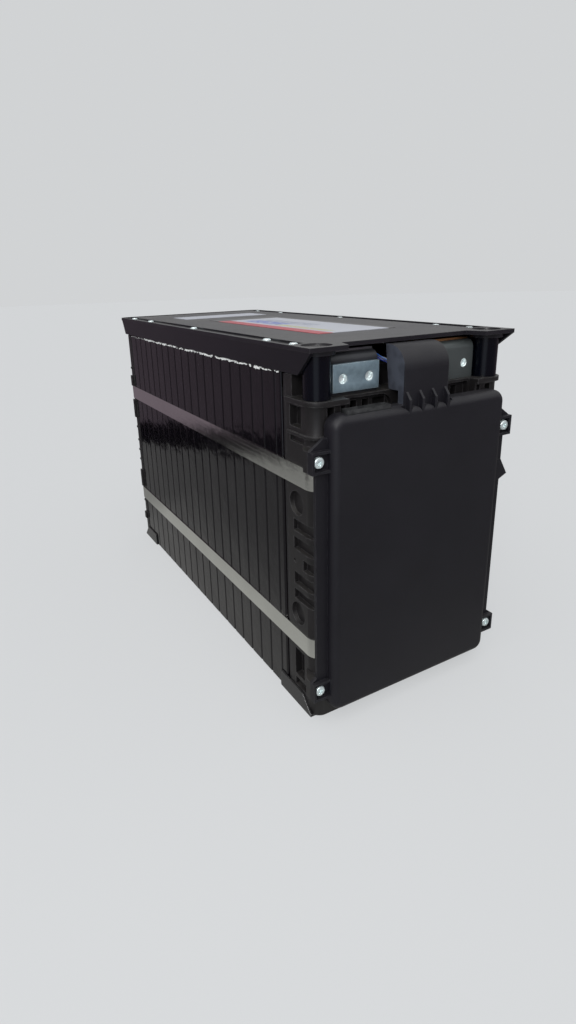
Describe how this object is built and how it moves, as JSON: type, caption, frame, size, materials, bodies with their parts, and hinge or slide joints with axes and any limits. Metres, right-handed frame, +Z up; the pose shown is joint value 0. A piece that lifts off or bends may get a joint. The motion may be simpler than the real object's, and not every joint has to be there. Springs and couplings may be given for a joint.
{
  "type": "lithium-ion battery module",
  "caption": "Long lithium-ion module: pouch cells and black fins clamped between ribbed end plates by steel bands, with a skirted lid, moulded front cover and front terminals.",
  "frame": {"origin": "under the middle of the whole length and width, on the plane of the feet's soles", "axes": "+X to the right seen from the front cover, +Y from the cover towards the rear end plate, +Z up"},
  "size_m": [0.1826, 0.4254, 0.2786],
  "materials": {
    "fin_black": "gloss",
    "pouch_foil": "satin",
    "pad_foam": "matte",
    "sheet_plastic": "matte",
    "black_moulding": "satin",
    "band_steel": "bright",
    "black_steel": "satin",
    "post_black": "gloss",
    "carrier_plastic": "matte",
    "copper": "bright",
    "circuit_board": "satin",
    "terminal_dark": "satin",
    "terminal_grey": "satin",
    "zinc": "bright",
    "connector_plastic": "matte",
    "lead_blue": "satin",
    "cover_black": "satin",
    "seal_white": "matte",
    "lid_black": "satin",
    "label_white": "matte",
    "tinned_bar": "satin"
  },
  "bodies": {
    "root": {"fin_01": "fin_black", "fin_02": "fin_black", "fin_03": "fin_black", "fin_04": "fin_black", "fin_05": "fin_black", "fin_06": "fin_black", "fin_07": "fin_black", "fin_08": "fin_black", "fin_09": "fin_black", "fin_10": "fin_black", "fin_11": "fin_black", "fin_12": "fin_black", "fin_13": "fin_black", "fin_14": "fin_black", "fin_15": "fin_black", "fin_16": "fin_black", "fin_17": "fin_black", "fin_18": "fin_black", "fin_19": "fin_black", "fin_20": "fin_black", "cell_group_01": "pouch_foil", "cell_group_02": "pouch_foil", "cell_group_03": "pouch_foil", "cell_group_04": "pouch_foil", "cell_group_05": "pouch_foil", "cell_group_06": "pouch_foil", "cell_group_07": "pouch_foil", "cell_group_08": "pouch_foil", "cell_group_09": "pouch_foil", "cell_group_10": "pouch_foil", "cell_group_11": "pouch_foil", "cell_group_12": "pouch_foil", "cell_group_13": "pouch_foil", "compression_pads": "pad_foam", "pressure_sheets": "sheet_plastic", "front_end_plate": "black_moulding", "rear_end_plate": "black_moulding", "lower_band": "band_steel", "upper_band": "band_steel", "band_clips": "band_steel", "front_feet": "black_steel", "rear_feet": "black_steel", "corner_posts": "post_black", "busbar_carrier": "carrier_plastic", "cell_links": "copper", "positive_link": "tinned_bar", "negative_link": "copper", "sense_board": "circuit_board", "positive_terminal": "terminal_dark", "negative_terminal": "terminal_grey", "positive_contact_plate": "zinc", "monitor_board": "circuit_board", "signal_connector": "connector_plastic", "sense_lead": "lead_blue", "front_cover": "cover_black", "cover_screws": "zinc", "edge_seals": "seal_white", "lid": "lid_black", "lid_labels": "label_white", "lid_screws": "zinc"}
  },
  "joints": []
}
